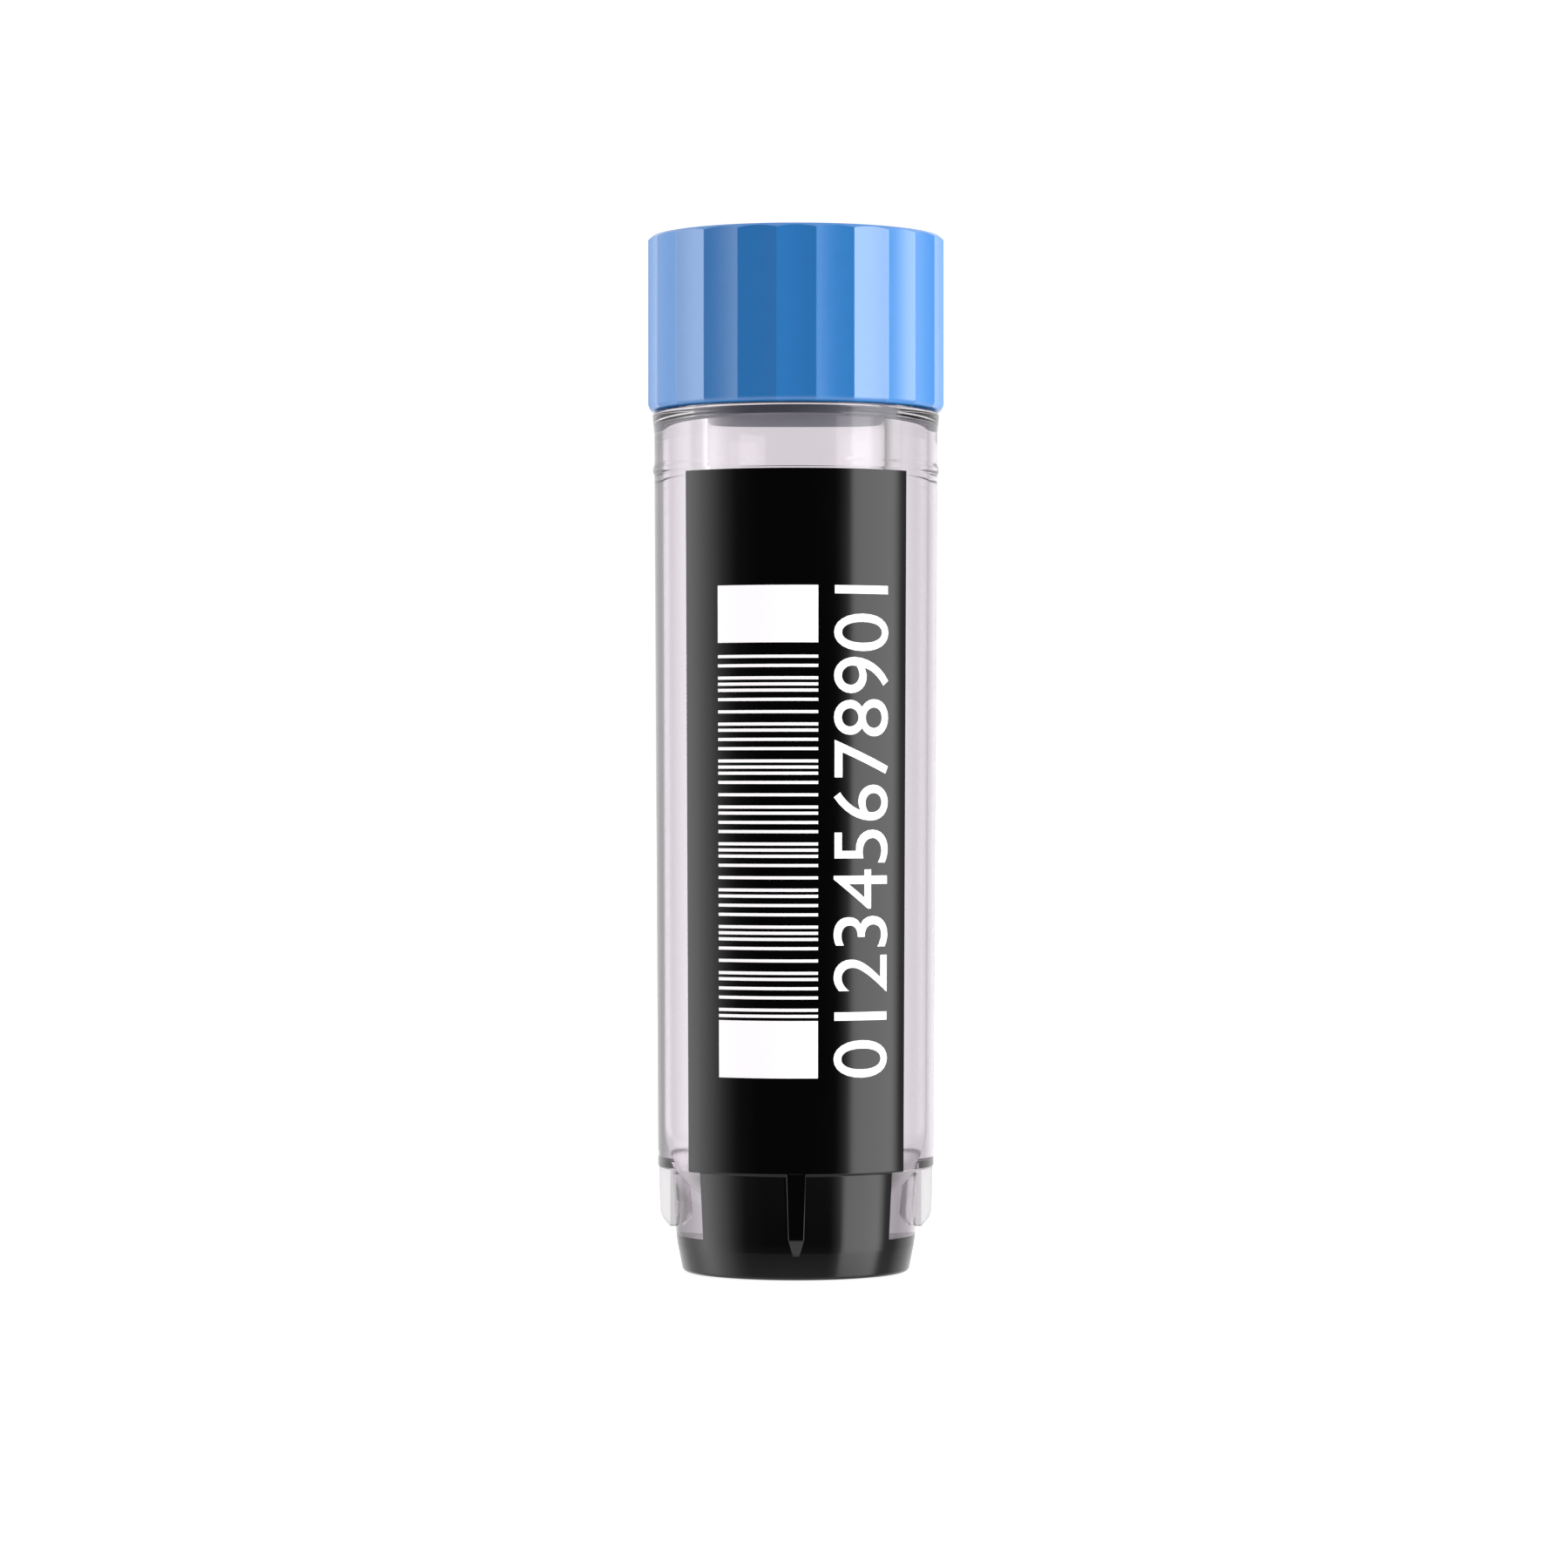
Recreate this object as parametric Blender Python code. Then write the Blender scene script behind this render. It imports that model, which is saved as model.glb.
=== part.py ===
"""Screw-cap sample storage tube of about 1.5 ml, with a code shell moulded onto its front and base.

Four pieces: a clear tube with an external thread, a black code shell, a blue fluted screw cap, and the
soft boot on the cap's plug that seals in the tube's mouth. The constants are in millimetres and degrees.
+Z is up, the origin is the centre of the base, and the code shell faces -Y. Azimuths count from -Y
towards +X, which is counterclockwise seen from above, so a thread that climbs with azimuth is right-handed.
"""
import math

import bmesh
import bpy
from mathutils import Vector

MM = 0.001
GAP = 0.05                       # between pieces that are moulded onto each other
FULL_TURN = 360.0

# Turned surfaces have one facet each 5 degrees, so the shell's edges fall on a facet's edge.
FACETS = 72
FACET_ANGLE = FULL_TURN / FACETS

# Base and skirt, the stretch below the step that stands in a rack's well
BASE_RADIUS = 4.88
BASE_EDGE = 0.22                 # rounding at the very bottom
KINK_Z = 1.15                    # where the base's taper gets steeper
KINK_RADIUS = 5.09
BASE_TOP = 1.60                  # top of the shell's base disc
SKIRT_BOTTOM_RADIUS = 5.15
SKIRT_TOP_RADIUS = 5.32
STEP_Z = 4.50
STEP_EDGE = 0.06

# Barrel
BARREL_BOTTOM_RADIUS = 5.94
BARREL_TOP_RADIUS = 6.10
BEAD_BOTTOM = 34.22
BEAD_TOP = 34.62
BEAD_RADIUS = 6.156
BEAD_EDGE = 0.05
COLLAR_BOTTOM = 35.96            # the clear band widens a little from here to the cap
COLLAR_TOP = 36.70
COLLAR_RADIUS = 6.175
SHOULDER_Z = 36.93
SHOULDER_EDGE = 0.07

# Bore
BORE_TIP_Z = 2.33
BORE_BOTTOM_RADIUS = 3.79
BORE_TOP_RADIUS = 3.85
BORE_ROUND_STEPS = 7
LEDGE_Z = 36.64                  # floor of the mouth, which is wider than the bore
MOUTH_RADIUS = 4.45

# Neck and thread. Tube thread and cap thread share the lead and pass each other half a lead apart.
NECK_ROOT_RADIUS = 5.05
NECK_TOP = 43.20
RIM_EDGE = 0.15
LEAD = 3.0
THREAD_DEPTH = 0.37
THREAD_ROOT_HEIGHT = 1.2
THREAD_CREST_HEIGHT = 0.6
THREAD_EMBED = 0.12              # how far a thread's foot reaches into its wall
THREAD_STEP = 7.5                # degrees between sections of a thread
THREAD_RUNOUT = 30.0             # degrees over which a thread fades at each end
TUBE_THREAD_BOTTOM = 38.1
TUBE_THREAD_TURNS = 1.35
CAP_THREAD_BOTTOM = 37.85
CAP_THREAD_TURNS = 1.15

# Code shell: a panel on the front, a skirt below it, and the base disc
SHELL_HALF_ANGLE = 50.0
PANEL_TOP = 34.20
PANEL_INNER_RADIUS = 4.95
SHELL_SKIRT_INNER_RADIUS = 4.35

# Four ribs below the step keep the tube from turning in its well: the front one belongs to the shell.
RIB_WIDTH_TOP = 0.88
RIB_WIDTH_BOTTOM = 0.66
RIB_RAMP_TOP = 1.76
RIB_RAMP_BOTTOM = 0.96
FIN_AZIMUTHS = (90.0, 180.0, 270.0)
FIN_WIDTH = 0.80
FIN_BOTTOM = 1.91
FIN_CHAMFER_TOP = 2.62
FIN_CHAMFER_RADIUS = 5.46
FIN_OUTER_BOTTOM_RADIUS = 5.84

# Cap
CAP_BOTTOM = 36.99
CAP_TOP = 44.46
CAP_RADIUS = 6.40
FLUTES = 24
FLUTE_SAG = 0.075                # how far a flute's middle lies below the chord between its ridges
CAP_TOP_FACE_RADIUS = 6.18
CAP_CHAMFER_SLOPE = 0.75         # height over width of the chamfer round the top
CAP_BOTTOM_EDGE = 0.22
CAP_ROOT_RADIUS = 5.57
CAP_ROOF_Z = 43.47
PLUG_RADIUS = 3.95
PLUG_BOTTOM = 37.50
SOCKET_RADIUS = 3.35
SOCKET_FLOOR = 38.50
SOCKET_EDGE = 0.15
SPLINES = 8
SPLINE_DEPTH = 0.40
SPLINE_TOP = 43.60

# Seal boot on the plug, with a flange over the rim
SEAL_RADIUS = 4.38
SEAL_BOTTOM = 36.74
SEAL_EDGE = 0.12
FLANGE_RADIUS = 5.30
FLANGE_BOTTOM = 43.26

CLEAR = (0.90, 0.88, 0.90)
BLACK = (0.008, 0.008, 0.008)
BLUE = (0.040, 0.170, 0.480)
SEAL_GREY = (0.145, 0.150, 0.185)


def clear_scene():
    """Remove every object that the new file starts with."""
    for thing in list(bpy.data.objects):
        bpy.data.objects.remove(thing, do_unlink=True)


def plastic(name, colour, roughness, transmission=0.0):
    """A Principled material for one moulded part."""
    made = bpy.data.materials.new(name)
    made.use_nodes = True
    shader = made.node_tree.nodes["Principled BSDF"]
    shader.inputs["Base Color"].default_value = (*colour, 1.0)
    shader.inputs["Roughness"].default_value = roughness
    shader.inputs["Metallic"].default_value = 0.0
    shader.inputs["IOR"].default_value = 1.49
    shader.inputs["Transmission Weight"].default_value = transmission
    made.diffuse_color = (*colour, 1.0)
    return made


def polar(radius, azimuth, height):
    """The point in metres at this radius, azimuth and height."""
    angle = math.radians(azimuth)
    return Vector((radius * math.sin(angle), -radius * math.cos(angle), height)) * MM


def ring(radius, height):
    """A round ring of the turned surface, or its one point where the radius is zero."""
    if radius == 0.0:
        return [polar(0.0, 0.0, height)]
    return [polar(radius, step * FACET_ANGLE, height) for step in range(FACETS)]


def join_rings(mesh, lower, upper):
    """Faces between two neighbouring rings of vertices, either of which may be a single point."""
    count = max(len(lower), len(upper))
    for step in range(count):
        after = (step + 1) % count
        corners = [lower[step % len(lower)], lower[after % len(lower)],
                   upper[after % len(upper)], upper[step % len(upper)]]
        mesh.faces.new(list(dict.fromkeys(corners)))


def skin(rings):
    """A closed body through rings that begin and end on the axis."""
    mesh = bmesh.new()
    made = [[mesh.verts.new(point) for point in points] for points in rings]
    for lower, upper in zip(made, made[1:]):
        join_rings(mesh, lower, upper)
    bmesh.ops.recalc_face_normals(mesh, faces=mesh.faces)
    return mesh


def sweep(sections, closed_ends=True):
    """A closed body through equal outlines that follow one another, capped at both ends."""
    mesh = bmesh.new()
    made = [[mesh.verts.new(point) for point in section] for section in sections]
    for first, second in zip(made, made[1:]):
        join_rings(mesh, first, second)
    if closed_ends:
        mesh.faces.new(made[0])
        mesh.faces.new(made[-1])
    bmesh.ops.recalc_face_normals(mesh, faces=mesh.faces)
    return mesh


def add_object(name, mesh, material=None, base_z=0.0, parent=None):
    """Put a bmesh into the scene, with its origin on the tube's axis at height base_z."""
    bmesh.ops.translate(mesh, verts=mesh.verts, vec=(0.0, 0.0, -base_z * MM))
    data = bpy.data.meshes.new(name)
    mesh.to_mesh(data)
    mesh.free()
    data.shade_smooth()
    data.set_sharp_from_angle(angle=math.radians(30.0))
    thing = bpy.data.objects.new(name, data)
    bpy.context.scene.collection.objects.link(thing)
    if material is not None:
        data.materials.append(material)
    if parent is None:
        thing.location.z = base_z * MM
    else:
        thing.parent = parent
    return thing


def combine(target, tool, operation):
    """Join a tool body to the target, or cut it out, and hide the tool."""
    cut = target.modifiers.new(tool.name, "BOOLEAN")
    cut.object = tool
    cut.operation = operation
    cut.solver = "EXACT"
    tool.hide_render = True
    tool.display_type = "WIRE"


def outer_radius(height):
    """The barrel's radius at a height, tapering from the bead down to the step."""
    share = (height - STEP_Z) / (BEAD_BOTTOM - STEP_Z)
    return BARREL_BOTTOM_RADIUS + share * (BARREL_TOP_RADIUS - BARREL_BOTTOM_RADIUS)


def skirt_radius(height):
    """The skirt's radius at a height between the base disc and the step."""
    share = (height - BASE_TOP) / (STEP_Z - BASE_TOP)
    return SKIRT_BOTTOM_RADIUS + share * (SKIRT_TOP_RADIUS - SKIRT_BOTTOM_RADIUS)


def sector(outline, half_angle, steps):
    """A closed outline of radii and heights, turned about the axis over the front sector only."""
    sections = []
    for step in range(steps + 1):
        azimuth = half_angle * (2.0 * step / steps - 1.0)
        sections.append([polar(radius, azimuth, height) for radius, height in outline])
    return sweep(sections)


def upright_rib(outline, azimuth, width_at):
    """A rib with an outline of radii and heights, as wide as width_at says at each height."""
    angle = math.radians(azimuth)
    outward = Vector((math.sin(angle), -math.cos(angle), 0.0))
    sideways = Vector((math.cos(angle), math.sin(angle), 0.0))
    faces = []
    for side in (-0.5, 0.5):
        faces.append([(outward * radius + sideways * side * width_at(height)
                       + Vector((0.0, 0.0, height))) * MM for radius, height in outline])
    return sweep(faces)


def thread(root_radius, outward, bottom, turns, start_azimuth):
    """A right-handed thread on a wall at root_radius, standing out (1) from it or in (-1)."""
    steps = round(turns * FULL_TURN / THREAD_STEP)
    sections = []
    for step in range(steps + 1):
        turned = step * THREAD_STEP
        centre = bottom + LEAD * turned / FULL_TURN
        left = min(turned, turns * FULL_TURN - turned)
        fade = max(0.04, min(1.0, left / THREAD_RUNOUT))
        foot = root_radius - outward * THREAD_EMBED
        crest = root_radius + outward * THREAD_DEPTH * fade
        azimuth = start_azimuth + turned
        sections.append([polar(foot, azimuth, centre - THREAD_ROOT_HEIGHT / 2),
                         polar(crest, azimuth, centre - THREAD_CREST_HEIGHT / 2),
                         polar(crest, azimuth, centre + THREAD_CREST_HEIGHT / 2),
                         polar(foot, azimuth, centre + THREAD_ROOT_HEIGHT / 2)])
    return sweep(sections)


def tube_rings():
    """The tube's turned surface: up the bore from its round bottom, over the rim, down the outside."""
    rings = [ring(0.0, BORE_TIP_Z)]
    centre = BORE_TIP_Z + BORE_BOTTOM_RADIUS
    for step in range(1, BORE_ROUND_STEPS + 1):
        angle = math.radians(90.0 * step / BORE_ROUND_STEPS)
        rings.append(ring(BORE_BOTTOM_RADIUS * math.sin(angle),
                          centre - BORE_BOTTOM_RADIUS * math.cos(angle)))
    inside = [(BORE_TOP_RADIUS, LEDGE_Z), (MOUTH_RADIUS, LEDGE_Z), (MOUTH_RADIUS, NECK_TOP - RIM_EDGE),
              (MOUTH_RADIUS + RIM_EDGE, NECK_TOP)]
    neck = [(NECK_ROOT_RADIUS - RIM_EDGE, NECK_TOP), (NECK_ROOT_RADIUS, NECK_TOP - RIM_EDGE),
            (NECK_ROOT_RADIUS, SHOULDER_Z)]
    collar = [(COLLAR_RADIUS - SHOULDER_EDGE, SHOULDER_Z), (COLLAR_RADIUS, SHOULDER_Z - SHOULDER_EDGE),
              (COLLAR_RADIUS, COLLAR_TOP), (BARREL_TOP_RADIUS, COLLAR_BOTTOM)]
    bead = [(BARREL_TOP_RADIUS, BEAD_TOP), (BEAD_RADIUS, BEAD_TOP - BEAD_EDGE),
            (BEAD_RADIUS, BEAD_BOTTOM + BEAD_EDGE), (BARREL_TOP_RADIUS, BEAD_BOTTOM)]
    skirt = [(outer_radius(STEP_Z + STEP_EDGE), STEP_Z + STEP_EDGE),
             (outer_radius(STEP_Z) - STEP_EDGE, STEP_Z), (SKIRT_TOP_RADIUS, STEP_Z),
             (skirt_radius(BASE_TOP + GAP), BASE_TOP + GAP), (0.0, BASE_TOP + GAP)]
    rings += [ring(radius, height) for radius, height in inside + neck + collar + bead + skirt]
    return rings


def fin_outline():
    """The side view of a clear fin, with its foot inside the skirt."""
    foot = SKIRT_BOTTOM_RADIUS - 4 * GAP
    top = STEP_Z + 4 * GAP
    return [(foot, top), (outer_radius(top) - GAP, top), (FIN_OUTER_BOTTOM_RADIUS, FIN_CHAMFER_TOP),
            (FIN_CHAMFER_RADIUS, FIN_BOTTOM + 2 * GAP), (FIN_CHAMFER_RADIUS - 2 * GAP, FIN_BOTTOM),
            (foot, FIN_BOTTOM)]


def build_tube():
    """The clear tube, with its thread, its fins and the pocket that the code shell fills."""
    clear = plastic("clear_polypropylene", CLEAR, 0.05, transmission=1.0)
    tube = add_object("tube", skin(tube_rings()), clear)
    helix = thread(NECK_ROOT_RADIUS, 1, TUBE_THREAD_BOTTOM, TUBE_THREAD_TURNS, 0.0)
    combine(tube, add_object("tube_thread_tool", helix), "UNION")
    for azimuth in FIN_AZIMUTHS:
        fin = upright_rib(fin_outline(), azimuth, lambda height: FIN_WIDTH)
        combine(tube, add_object(f"fin_tool_{azimuth:.0f}", fin), "UNION")
    outside = CAP_RADIUS
    pocket = [(PANEL_INNER_RADIUS - GAP, PANEL_TOP + GAP), (outside, PANEL_TOP + GAP), (outside, 0.0),
              (SHELL_SKIRT_INNER_RADIUS - GAP, 0.0), (SHELL_SKIRT_INNER_RADIUS - GAP, STEP_Z),
              (PANEL_INNER_RADIUS - GAP, STEP_Z + PANEL_INNER_RADIUS - SHELL_SKIRT_INNER_RADIUS)]
    half_angle = SHELL_HALF_ANGLE + math.degrees(GAP / PANEL_INNER_RADIUS)
    steps = round(2 * SHELL_HALF_ANGLE / FACET_ANGLE)
    combine(tube, add_object("pocket_tool", sector(pocket, half_angle, steps)), "DIFFERENCE")


def rib_width(height):
    """The front rib's width, which narrows downwards."""
    share = (height - RIB_RAMP_BOTTOM) / (STEP_Z - RIB_RAMP_BOTTOM)
    return RIB_WIDTH_BOTTOM + share * (RIB_WIDTH_TOP - RIB_WIDTH_BOTTOM)


def build_code_shell():
    """The black shell: base disc, front skirt and panel, and the front rib."""
    black = plastic("black_polypropylene", BLACK, 0.18)
    disc = [(0.0, BASE_TOP), (SKIRT_BOTTOM_RADIUS, BASE_TOP), (KINK_RADIUS, KINK_Z),
            (BASE_RADIUS, BASE_EDGE), (BASE_RADIUS - BASE_EDGE / 3, BASE_EDGE / 3),
            (BASE_RADIUS - BASE_EDGE, 0.0), (0.0, 0.0)]
    shell = add_object("code_shell", skin([ring(radius, height) for radius, height in disc]), black)
    embed = BASE_TOP - 4 * GAP
    panel = [(PANEL_INNER_RADIUS, PANEL_TOP), (outer_radius(PANEL_TOP), PANEL_TOP),
             (outer_radius(STEP_Z + STEP_EDGE), STEP_Z + STEP_EDGE),
             (outer_radius(STEP_Z) - STEP_EDGE, STEP_Z), (SKIRT_TOP_RADIUS, STEP_Z),
             (skirt_radius(BASE_TOP) - GAP / 5, BASE_TOP), (KINK_RADIUS - GAP, embed),
             (SHELL_SKIRT_INNER_RADIUS, embed), (SHELL_SKIRT_INNER_RADIUS, STEP_Z),
             (PANEL_INNER_RADIUS, STEP_Z + PANEL_INNER_RADIUS - SHELL_SKIRT_INNER_RADIUS)]
    steps = round(2 * SHELL_HALF_ANGLE / FACET_ANGLE)
    combine(shell, add_object("panel_tool", sector(panel, SHELL_HALF_ANGLE, steps)), "UNION")
    foot = BASE_RADIUS - 4 * GAP
    top = STEP_Z + 4 * GAP
    outline = [(foot, top), (outer_radius(top) - GAP, top), (outer_radius(RIB_RAMP_TOP), RIB_RAMP_TOP),
               (KINK_RADIUS - GAP, RIB_RAMP_BOTTOM), (foot, RIB_RAMP_BOTTOM)]
    combine(shell, add_object("rib_tool", upright_rib(outline, 0.0, rib_width)), "UNION")


def flute_radius(step):
    """The fluted surface's radius at a facet's edge: ridges at CAP_RADIUS, flutes hollow between."""
    per_flute = FACETS // FLUTES
    half = math.radians(FULL_TURN / FLUTES / 2)
    angle = math.radians((step % per_flute) * FACET_ANGLE) - half
    chord = CAP_RADIUS * math.cos(half) / math.cos(angle)
    across = math.tan(angle) / math.tan(half)
    return chord - FLUTE_SAG * (1.0 - across * across)


def fluted_ring(inset, height_at):
    """A ring on the fluted surface, inset from it, at the height that height_at gives its radius."""
    offset = FULL_TURN / FLUTES / 2
    points = []
    for step in range(FACETS):
        radius = flute_radius(step) - inset
        points.append(polar(radius, step * FACET_ANGLE + offset, height_at(radius)))
    return points


def chamfer_height(radius):
    """The height of the chamfer round the cap's top at a radius."""
    return CAP_TOP - (radius - CAP_TOP_FACE_RADIUS) * CAP_CHAMFER_SLOPE


def offset_ring(radius, height):
    """A round ring whose points share the azimuths of the fluted ones."""
    offset = FULL_TURN / FLUTES / 2
    return [polar(radius, step * FACET_ANGLE + offset, height) for step in range(FACETS)]


def splined_ring(height):
    """A ring of the drive socket's wall, with a spline standing in at equal steps."""
    offset = FULL_TURN / FLUTES / 2
    period = FACETS // SPLINES
    middle = period // 2
    points = []
    for step in range(FACETS):
        on_spline = step % period in (middle, middle + 1)
        radius = SOCKET_RADIUS - (SPLINE_DEPTH if on_spline else 0.0)
        points.append(polar(radius, step * FACET_ANGLE + offset, height))
    return points


def cap_rings():
    """The cap's surface: up the socket, over the top, down the flutes, and up round the plug."""
    socket = [ring(0.0, SOCKET_FLOOR), splined_ring(SOCKET_FLOOR), splined_ring(SPLINE_TOP),
              offset_ring(SOCKET_RADIUS, SPLINE_TOP + SPLINE_DEPTH),
              offset_ring(SOCKET_RADIUS, CAP_TOP - SOCKET_EDGE),
              offset_ring(SOCKET_RADIUS + SOCKET_EDGE, CAP_TOP)]
    outside = [offset_ring(CAP_TOP_FACE_RADIUS, CAP_TOP), fluted_ring(0.0, chamfer_height),
               fluted_ring(0.0, lambda radius: CAP_BOTTOM + CAP_BOTTOM_EDGE),
               fluted_ring(CAP_BOTTOM_EDGE, lambda radius: CAP_BOTTOM)]
    inside = [(CAP_ROOT_RADIUS + CAP_BOTTOM_EDGE, CAP_BOTTOM),
              (CAP_ROOT_RADIUS, CAP_BOTTOM + CAP_BOTTOM_EDGE), (CAP_ROOT_RADIUS, CAP_ROOF_Z),
              (PLUG_RADIUS, CAP_ROOF_Z), (PLUG_RADIUS, PLUG_BOTTOM)]
    underside = [offset_ring(radius, height) for radius, height in inside]
    return socket + outside + underside + [ring(0.0, PLUG_BOTTOM)]


def build_cap(axis):
    """The blue cap: fluted skirt with the internal thread, and the hollow plug."""
    blue = plastic("blue_polypropylene", BLUE, 0.25)
    cap = add_object("cap_shell", skin(cap_rings()), blue, CAP_BOTTOM, axis)
    half_lead = FULL_TURN * (CAP_THREAD_BOTTOM - TUBE_THREAD_BOTTOM) / LEAD + FULL_TURN / 2
    helix = thread(CAP_ROOT_RADIUS, -1, CAP_THREAD_BOTTOM, CAP_THREAD_TURNS, half_lead)
    combine(cap, add_object("cap_thread_tool", helix, None, CAP_BOTTOM, axis), "UNION")


def build_seal(axis):
    """The soft boot: a cup over the plug's end and wall, with a flange under the cap's roof."""
    grey = plastic("seal_elastomer", SEAL_GREY, 0.45)
    inner = PLUG_RADIUS + GAP
    roof = CAP_ROOF_Z - GAP
    outline = [(0.0, PLUG_BOTTOM - GAP), (inner, PLUG_BOTTOM - GAP), (inner, roof),
               (FLANGE_RADIUS, roof), (FLANGE_RADIUS, FLANGE_BOTTOM), (SEAL_RADIUS, FLANGE_BOTTOM),
               (SEAL_RADIUS, SEAL_BOTTOM + SEAL_EDGE), (SEAL_RADIUS - SEAL_EDGE, SEAL_BOTTOM),
               (0.0, SEAL_BOTTOM)]
    rings = [ring(radius, height) for radius, height in outline]
    add_object("cap_seal", skin(rings), grey, CAP_BOTTOM, axis)


def main():
    """Build the four pieces, the cap's two on an empty that marks the axis they turn and lift on."""
    clear_scene()
    build_tube()
    build_code_shell()
    axis = bpy.data.objects.new("cap_axis", None)
    axis.location.z = CAP_BOTTOM * MM
    bpy.context.scene.collection.objects.link(axis)
    build_cap(axis)
    build_seal(axis)


main()
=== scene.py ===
"""The looks of a screw-cap sample storage tube: fine meshes for its four pieces, the laser marks on
its code shell, and a white studio. Sizes are in millimetres and degrees; azimuths count from -Y towards
+X, so 0 is the front of the tube and 90 its right side."""
import math

import bmesh
import bpy
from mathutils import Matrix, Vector


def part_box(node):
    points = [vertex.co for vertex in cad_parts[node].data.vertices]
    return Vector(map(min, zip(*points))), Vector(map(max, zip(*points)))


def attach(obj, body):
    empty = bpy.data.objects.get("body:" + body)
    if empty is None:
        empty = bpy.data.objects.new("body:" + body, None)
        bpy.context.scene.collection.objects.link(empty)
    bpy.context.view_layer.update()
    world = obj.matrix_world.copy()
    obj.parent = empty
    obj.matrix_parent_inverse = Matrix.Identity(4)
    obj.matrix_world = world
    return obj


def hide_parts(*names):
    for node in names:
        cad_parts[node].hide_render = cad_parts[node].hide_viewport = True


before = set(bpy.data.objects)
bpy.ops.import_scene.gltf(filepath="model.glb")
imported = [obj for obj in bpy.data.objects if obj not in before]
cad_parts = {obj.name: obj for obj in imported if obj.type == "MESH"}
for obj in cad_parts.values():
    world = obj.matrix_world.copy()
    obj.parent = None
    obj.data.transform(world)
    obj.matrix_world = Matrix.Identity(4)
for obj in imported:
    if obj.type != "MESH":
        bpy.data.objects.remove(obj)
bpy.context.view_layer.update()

MM = 0.001
TUBE, SEAL, CAP = "tube_body", "seal_body", "cap_body"

# Heights and radii that come from the CAD solids' boxes
_, tube_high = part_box("tube")
_, shell_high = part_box("code_shell")
cap_low, cap_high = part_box("cap_shell")
_, seal_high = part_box("cap_seal")
NECK_TOP = tube_high.z / MM
PANEL_TOP = shell_high.z / MM
CAP_BOTTOM = cap_low.z / MM
CAP_TOP = cap_high.z / MM
SEAL_TOP = seal_high.z / MM
FLANGE_RADIUS = seal_high.x / MM
FLUTES = 24
HALF_FLUTE = 180.0 / FLUTES
CAP_RADIUS = cap_high.x / MM / math.cos(math.radians(HALF_FLUTE))

# The rest repeats the CAD model's own dimensions, apart from finer ones for the edges, fins and front rib
BASE_RADIUS, KINK_Z, KINK_RADIUS, BASE_TOP = 4.88, 1.15, 5.09, 1.60
SKIRT_BOTTOM_RADIUS, SKIRT_TOP_RADIUS, STEP_Z = 5.15, 5.32, 4.50
BARREL_BOTTOM_RADIUS, BARREL_TOP_RADIUS = 5.94, 6.10
BEAD_BOTTOM, BEAD_TOP, BEAD_RADIUS, BEAD_SLOPE, BEAD_BLEND = 34.22, 34.62, 6.156, 0.10, 0.2
COLLAR_BOTTOM, COLLAR_TOP, COLLAR_RADIUS, SHOULDER_Z = 35.96, 36.70, 6.175, 36.93
BORE_TIP_Z, BORE_BOTTOM_RADIUS, BORE_TOP_RADIUS = 2.33, 3.79, 3.85
LEDGE_Z, MOUTH_RADIUS, NECK_ROOT_RADIUS = 36.64, 4.45, 5.05
SHELL_HALF_ANGLE, PANEL_INNER_RADIUS, SHELL_SKIRT_INNER_RADIUS = 50.0, 4.95, 4.35
LEAD, THREAD_DEPTH, THREAD_EMBED = 3.0, 0.37, 0.12
THREAD_ROOT_HEIGHT, THREAD_CREST_HEIGHT, THREAD_RUNOUT = 1.2, 0.6, 30.0
TUBE_THREAD_BOTTOM, TUBE_THREAD_TURNS = 38.1, 1.35
CAP_THREAD_BOTTOM, CAP_THREAD_TURNS = 37.85, 1.15
CAP_TOP_FACE_RADIUS, CAP_CHAMFER_SLOPE, CAP_ROOT_RADIUS, CAP_ROOF_Z = 6.225, 1.0, 5.57, 43.47
PLUG_RADIUS, PLUG_BOTTOM, SOCKET_RADIUS, SOCKET_FLOOR = 3.95, 37.50, 3.35, 38.50
SPLINES, SPLINE_DEPTH, SPLINE_TOP = 8, 0.40, 43.60
SEAL_RADIUS, SEAL_TO_PLUG, FLANGE_THICKNESS = 4.38, 0.05, 0.16
FIN_AZIMUTHS, FIN_WIDTH, FIN_FOOT_RADIUS, FIN_BOTTOM = (90.0, 180.0, 270.0), 0.82, 4.95, 1.91
RIB_WIDTH_TOP, RIB_WIDTH_BOTTOM, RIB_RAMP_WIDTH = 0.95, 0.78, 0.36
RIB_FOOT_RADIUS, RIB_RAMP_TOP, RIB_RAMP_BOTTOM, RIB_RECESS = 4.85, 1.76, 0.96, 0.012

FULL_TURN = 360.0
FACETS = 240                     # round the axis, on every turned surface but the flutes
FRONT_FACETS = 66                # of them, over the front sector of the tube and its shell
FUSED = 0.004                    # how far the clear plastic reaches into the black where they are fused
ARC_STEPS = 5                    # segments in a rounded corner
SMOOTH_ANGLE = 32.0              # edges that turn more than this stay sharp
SAME_POINT = 1e-5                # points closer than this are one point
TINY = 1e-6                      # a radius or an angle below this is nothing


# ---------------------------------------------------------------- meshes

def polar(radius, azimuth, height):
    """The point in metres at this radius, azimuth and height."""
    angle = math.radians(azimuth)
    return Vector((radius * math.sin(angle), -radius * math.cos(angle), height)) * MM


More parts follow.
